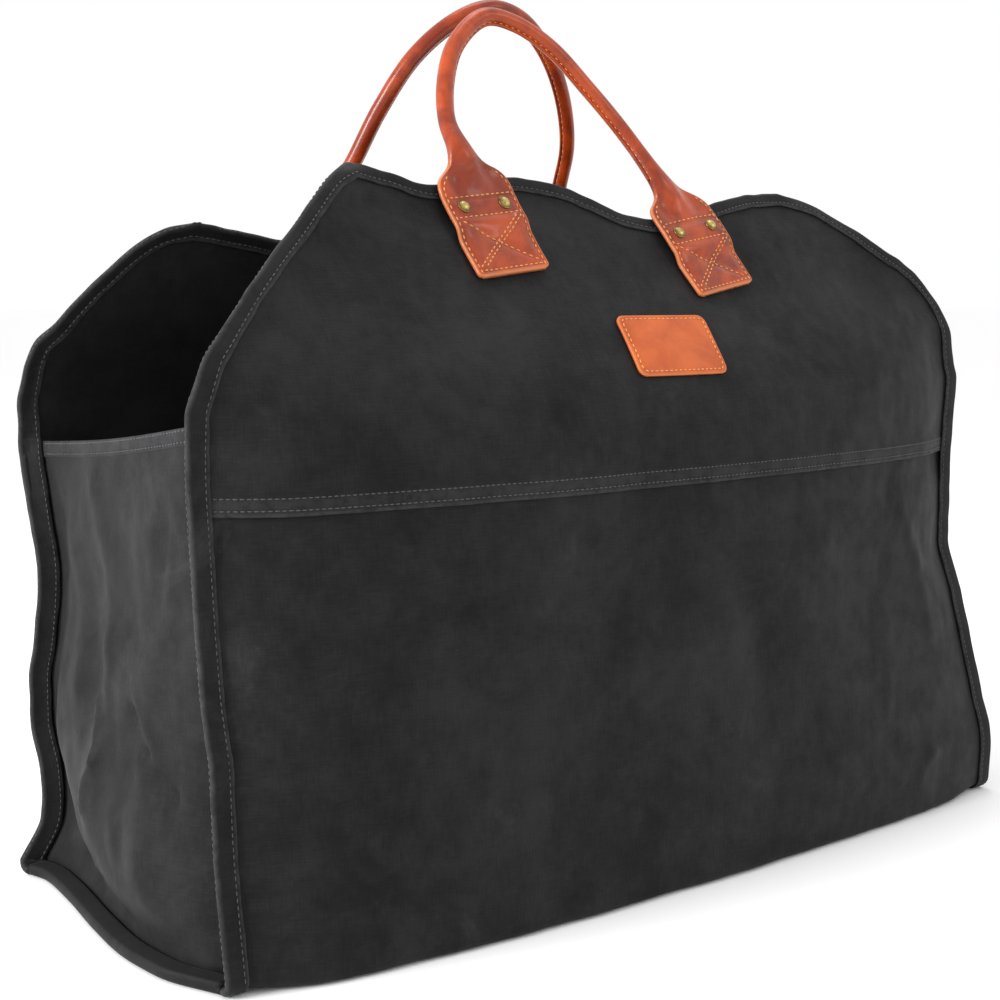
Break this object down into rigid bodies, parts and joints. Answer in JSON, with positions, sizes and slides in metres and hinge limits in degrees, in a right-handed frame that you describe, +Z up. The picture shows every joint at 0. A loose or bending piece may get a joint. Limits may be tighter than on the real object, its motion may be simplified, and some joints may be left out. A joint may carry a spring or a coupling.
{
  "type": "canvas log carrier",
  "caption": "Open-topped heavy canvas log carrier with taped edges, end gussets, rolled leather handles on riveted tabs and a blank leather patch.",
  "frame": {"origin": "on the floor under the middle of the base, on the base's flat underside", "axes": "+X along the bag's length to the right end seen from the front, +Y from the front panel to the back panel, +Z up"},
  "size_m": [0.5992, 0.2827, 0.4948],
  "materials": {
    "canvas": "waxed charcoal canvas, faintly mottled, matt",
    "edge_tape": "folded canvas tape, matt",
    "handle_leather": "smooth cognac leather, soft gloss",
    "patch_leather": "smooth tan leather, satin",
    "rivet_brass": "antique brass, lightly tarnished"
  },
  "bodies": {
    "root": {"front_upper_panel": "canvas", "back_upper_panel": "canvas", "body_wrap": "canvas", "left_gusset": "canvas", "right_gusset": "canvas", "front_binding": "edge_tape", "back_binding": "edge_tape", "left_foot_binding": "edge_tape", "right_foot_binding": "edge_tape", "front_handle": "handle_leather", "back_handle": "handle_leather", "front_rivet_left_outer": "rivet_brass", "front_rivet_left_inner": "rivet_brass", "front_rivet_right_outer": "rivet_brass", "front_rivet_right_inner": "rivet_brass", "back_rivet_left_outer": "rivet_brass", "back_rivet_left_inner": "rivet_brass", "back_rivet_right_outer": "rivet_brass", "back_rivet_right_inner": "rivet_brass", "leather_patch": "patch_leather"}
  },
  "joints": []
}
